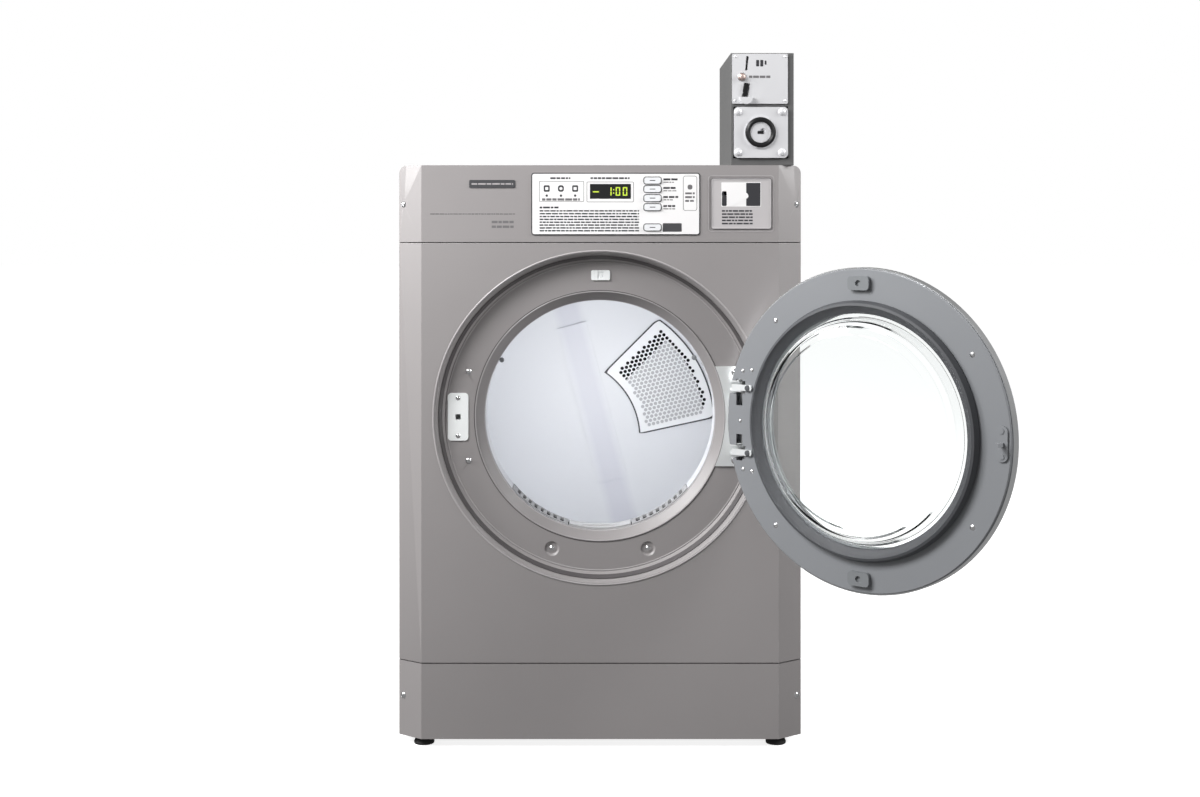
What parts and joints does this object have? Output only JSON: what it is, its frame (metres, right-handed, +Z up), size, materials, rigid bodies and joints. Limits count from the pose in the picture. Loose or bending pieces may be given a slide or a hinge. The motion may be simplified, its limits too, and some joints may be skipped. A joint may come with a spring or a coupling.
{
  "type": "tumble dryer",
  "caption": "Front-loading tumble dryer for shared laundries: grey cabinet, round glass door standing open, electronic console and a coin box on top.",
  "frame": {"origin": "middle of the base pan's underside, between the four levelling feet; the feet reach 14 mm lower to the floor", "axes": "+Z up, front with the loading door faces -Y, +X to the right as seen from the front; the door is stored open 140 degrees"},
  "size_m": [0.965, 1.1327, 1.1741],
  "materials": {
    "enamel": "warm grey baked enamel with a fine texture",
    "liner": "pale powder coat inside the drum chamber",
    "steel": "bright zinc or stainless steel",
    "chrome": "polished plated rim",
    "door_plastic": "moulded grey plastic",
    "rubber": "dark seal rubber",
    "glass": "clear pressed glass",
    "overlay": "printed light grey panel",
    "white_plastic": "white push buttons",
    "black_plastic": "black smoked plastic",
    "dark_steel": "dark grey painted coin box",
    "board": "circuit board laminate",
    "felt": "wool felt seals",
    "cast": "painted motor body"
  },
  "bodies": {
    "cabinet": {"base_pan": "enamel", "left_side_panel": "enamel", "right_side_panel": "enamel", "rear_panel": "enamel", "top_plate": "enamel", "front_panel": "enamel", "kick_panel": "enamel", "console": "enamel", "panel_screws": "steel", "levelling_feet": "rubber", "console_overlay": "overlay", "display_window": "black_plastic", "card_plate": "overlay", "name_plaque": "black_plastic", "control_board": "board", "hinge_plate": "steel", "strike_plate": "steel", "front_screws": "steel", "door_switch": "white_plastic", "front_bulkhead": "liner", "drum_seals": "felt", "rear_bulkhead": "liner", "air_inlet_grille": "liner", "outlet_grille": "white_plastic", "filter_duct": "steel", "blower_housing": "steel", "exhaust_duct": "steel", "heater_box": "steel", "motor": "cast", "drive_belt": "rubber", "terminal_cover": "enamel", "coin_case": "dark_steel", "coin_face_plate": "steel"},
    "door": {"door_rim": "chrome", "door_inner_frame": "door_plastic", "door_glass": "glass", "door_gasket": "rubber", "hinge_straps": "steel", "door_screws": "steel", "door_bumpers": "door_plastic", "door_latch": "door_plastic"},
    "drum": {"drum_shell": "liner", "drum_vanes": "liner"},
    "fan_rotor": {"motor_pulley": "steel", "blower_wheel": "black_plastic"},
    "idler_swing": {"idler_arm": "steel"},
    "idler_wheel": {"idler_pulley": "white_plastic"},
    "roller_left": {"left_roller": "rubber"},
    "roller_right": {"right_roller": "rubber"},
    "filter": {"lint_filter": "white_plastic"},
    "key_1": {"button_1": "white_plastic"},
    "key_2": {"button_2": "white_plastic"},
    "key_3": {"button_3": "white_plastic"},
    "key_4": {"button_4": "white_plastic"},
    "key_start": {"start_button": "white_plastic"},
    "coin_return": {"coin_return_button": "chrome"},
    "vault": {"vault_door": "steel", "cash_box": "steel"},
    "lock": {"lock_cylinder": "steel"}
  },
  "joints": [
    {"name": "door_hinge", "type": "hinge", "parent": "cabinet", "child": "door", "pos_m": [0.24, -0.3835, 0.543], "axis": [0, 0, 1], "range_deg": [-140, 10]},
    {"name": "drum_spin", "type": "hinge", "parent": "cabinet", "child": "drum", "pos_m": [0, 0, 0.543], "axis": [0, 1, 0], "continuous": true},
    {"name": "fan_spin", "type": "hinge", "parent": "cabinet", "child": "fan_rotor", "pos_m": [0.06, 0, 0.116], "axis": [0, 1, 0], "continuous": true},
    {"name": "idler_swing", "type": "hinge", "parent": "cabinet", "child": "idler_swing", "pos_m": [-0.07, 0, 0.036], "axis": [0, 1, 0], "range_deg": [-5, 0], "stiffness_Nm_per_rad": 20, "springref_deg": 2.86},
    {"name": "idler_spin", "type": "hinge", "parent": "idler_swing", "child": "idler_wheel", "pos_m": [-0.074, 0, 0.1712], "axis": [0, 1, 0], "continuous": true},
    {"name": "roller_left_spin", "type": "hinge", "parent": "cabinet", "child": "roller_left", "pos_m": [-0.22395, 0, 0.27611], "axis": [0, 1, 0], "continuous": true},
    {"name": "roller_right_spin", "type": "hinge", "parent": "cabinet", "child": "roller_right", "pos_m": [0.22395, 0, 0.27611], "axis": [0, 1, 0], "continuous": true},
    {"name": "filter_lift", "type": "slide", "parent": "cabinet", "child": "filter", "axis": [0, 0, 1], "range_m": [0, 0.12]},
    {"name": "key_1_press", "type": "slide", "parent": "cabinet", "child": "key_1", "axis": [0, 1, 0], "range_m": [0, 0.0018], "stiffness_N_per_m": 300, "springref_m": -0.001},
    {"name": "key_2_press", "type": "slide", "parent": "cabinet", "child": "key_2", "axis": [0, 1, 0], "range_m": [0, 0.0018], "stiffness_N_per_m": 300, "springref_m": -0.001},
    {"name": "key_3_press", "type": "slide", "parent": "cabinet", "child": "key_3", "axis": [0, 1, 0], "range_m": [0, 0.0018], "stiffness_N_per_m": 300, "springref_m": -0.001},
    {"name": "key_4_press", "type": "slide", "parent": "cabinet", "child": "key_4", "axis": [0, 1, 0], "range_m": [0, 0.0018], "stiffness_N_per_m": 300, "springref_m": -0.001},
    {"name": "key_start_press", "type": "slide", "parent": "cabinet", "child": "key_start", "axis": [0, 1, 0], "range_m": [0, 0.0018], "stiffness_N_per_m": 300, "springref_m": -0.001},
    {"name": "coin_return_press", "type": "slide", "parent": "cabinet", "child": "coin_return", "axis": [0, 1, 0], "range_m": [0, 0.004], "stiffness_N_per_m": 300, "springref_m": -0.002},
    {"name": "vault_pull", "type": "slide", "parent": "cabinet", "child": "vault", "axis": [0, -1, 0], "range_m": [0, 0.12]},
    {"name": "lock_turn", "type": "hinge", "parent": "vault", "child": "lock", "pos_m": [0.2712, 0, 1.0253], "axis": [0, 1, 0], "range_deg": [0, 90]}
  ],
  "couplings": [
    {"joint": "fan_spin", "follows": "drum_spin", "ratio": 23.85},
    {"joint": "idler_spin", "follows": "drum_spin", "ratio": -12.92},
    {"joint": "roller_left_spin", "follows": "drum_spin", "ratio": -8.16},
    {"joint": "roller_right_spin", "follows": "drum_spin", "ratio": -8.16}
  ]
}
